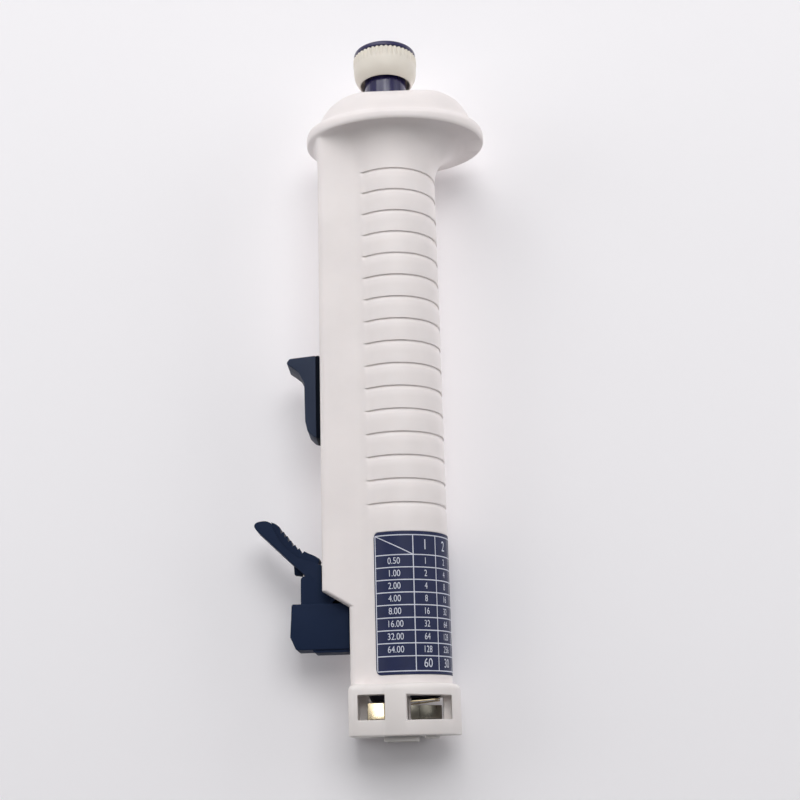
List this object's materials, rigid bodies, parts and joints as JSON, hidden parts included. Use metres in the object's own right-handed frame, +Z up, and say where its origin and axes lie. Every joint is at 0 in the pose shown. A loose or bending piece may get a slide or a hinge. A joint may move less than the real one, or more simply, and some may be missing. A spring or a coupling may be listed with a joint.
{
  "type": "repeating pipette",
  "caption": "Hand-held stepper pipette: a sliding lever fills a clip-in syringe tip, a thumb lever empties it in equal steps, and a top dial sets the step.",
  "frame": {"origin": "on the axis of the round grip, in the bottom face of the nose where the tip's flange enters", "axes": "+Z up the instrument towards the dial, -X towards the levers, -Y towards the side that carries the front edge of the label"},
  "size_m": [0.0744, 0.0438, 0.2226],
  "materials": {
    "shell": "fine satin off-white moulding",
    "ivory": "satin ivory moulding",
    "navy": "satin dark navy moulding",
    "navy_gloss": "polished navy moulding",
    "label": "printed film",
    "black_pom": "machined acetal",
    "white_pom": "moulded acetal",
    "bumper": "matt elastomer",
    "steel": "fine ground stainless steel"
  },
  "bodies": {
    "body": {"housing": "shell", "nose": "shell", "tip_guide_ring": "ivory", "guide_rods": "steel", "lower_plate": "black_pom", "mid_plate": "black_pom", "upper_plate": "black_pom", "tip_clip": "steel", "volume_label": "label", "nose_screws": "steel", "plate_screws": "steel", "end_bumper": "bumper", "step_rods": "steel", "detent_ball": "steel", "detent_spring": "steel"},
    "dial": {"dial_shaft": "navy_gloss", "dial_ring": "ivory", "dial_disc": "navy", "dial_screw": "steel", "shaft_clip": "steel", "volume_cam": "white_pom", "cam_pin": "steel"},
    "mask": {"mask_slider": "white_pom"},
    "thumb_lever": {"step_lever": "navy", "step_carrier": "black_pom", "step_screws": "steel", "step_springs": "steel", "pawl_pin": "steel"},
    "pawl": {"pawl": "steel"},
    "slide": {"carriage": "black_pom", "carriage_block": "navy", "block_screws": "steel", "rack": "steel", "rack_screws": "steel", "jaw_pins": "steel", "pivot_pin": "steel"},
    "release": {"release_lever": "navy", "lever_pad": "navy"},
    "jaw_front": {"front_jaw": "white_pom"},
    "jaw_rear": {"rear_jaw": "white_pom"}
  },
  "joints": [
    {"name": "dial_turn", "type": "hinge", "parent": "body", "child": "dial", "pos_m": [-0.0012, 0, 0.2], "axis": [0, 0, 1], "range_deg": [0, 288]},
    {"name": "mask_rise", "type": "slide", "parent": "body", "child": "mask", "axis": [0, 0, 1], "range_m": [0, 0.00416], "stiffness_N_per_m": 0.05, "springref_m": 0.139},
    {"name": "step_press", "type": "slide", "parent": "body", "child": "thumb_lever", "axis": [0, 0, -1], "range_m": [0, 0.006], "stiffness_N_per_m": 300, "springref_m": -0.008, "deforming": ["step_springs"]},
    {"name": "pawl_swing", "type": "hinge", "parent": "thumb_lever", "child": "pawl", "pos_m": [-0.0161, 0, 0.098], "axis": [0, -1, 0], "range_deg": [0, 5], "stiffness_Nm_per_rad": 0.01, "springref_deg": -5.73},
    {"name": "fill_slide", "type": "slide", "parent": "body", "child": "slide", "axis": [0, 0, 1], "range_m": [0, 0.026]},
    {"name": "release_press", "type": "hinge", "parent": "slide", "child": "release", "pos_m": [-0.0192, 0, 0.0391], "axis": [0, -1, 0], "range_deg": [0, 12], "stiffness_Nm_per_rad": 0.2, "springref_deg": -11.46},
    {"name": "jaw_front_open", "type": "hinge", "parent": "slide", "child": "jaw_front", "pos_m": [0, -0.0044, 0.025], "axis": [-1, 0, 0], "range_deg": [0, 4.5]},
    {"name": "jaw_rear_open", "type": "hinge", "parent": "slide", "child": "jaw_rear", "pos_m": [0, 0.0044, 0.025], "axis": [1, 0, 0], "range_deg": [0, 4.5]}
  ],
  "couplings": [
    {"joint": "mask_rise", "follows": "dial_turn", "m_per_rad": 0.00082761},
    {"joint": "jaw_front_open", "follows": "release_press", "ratio": 0.375},
    {"joint": "jaw_rear_open", "follows": "release_press", "ratio": 0.375}
  ]
}
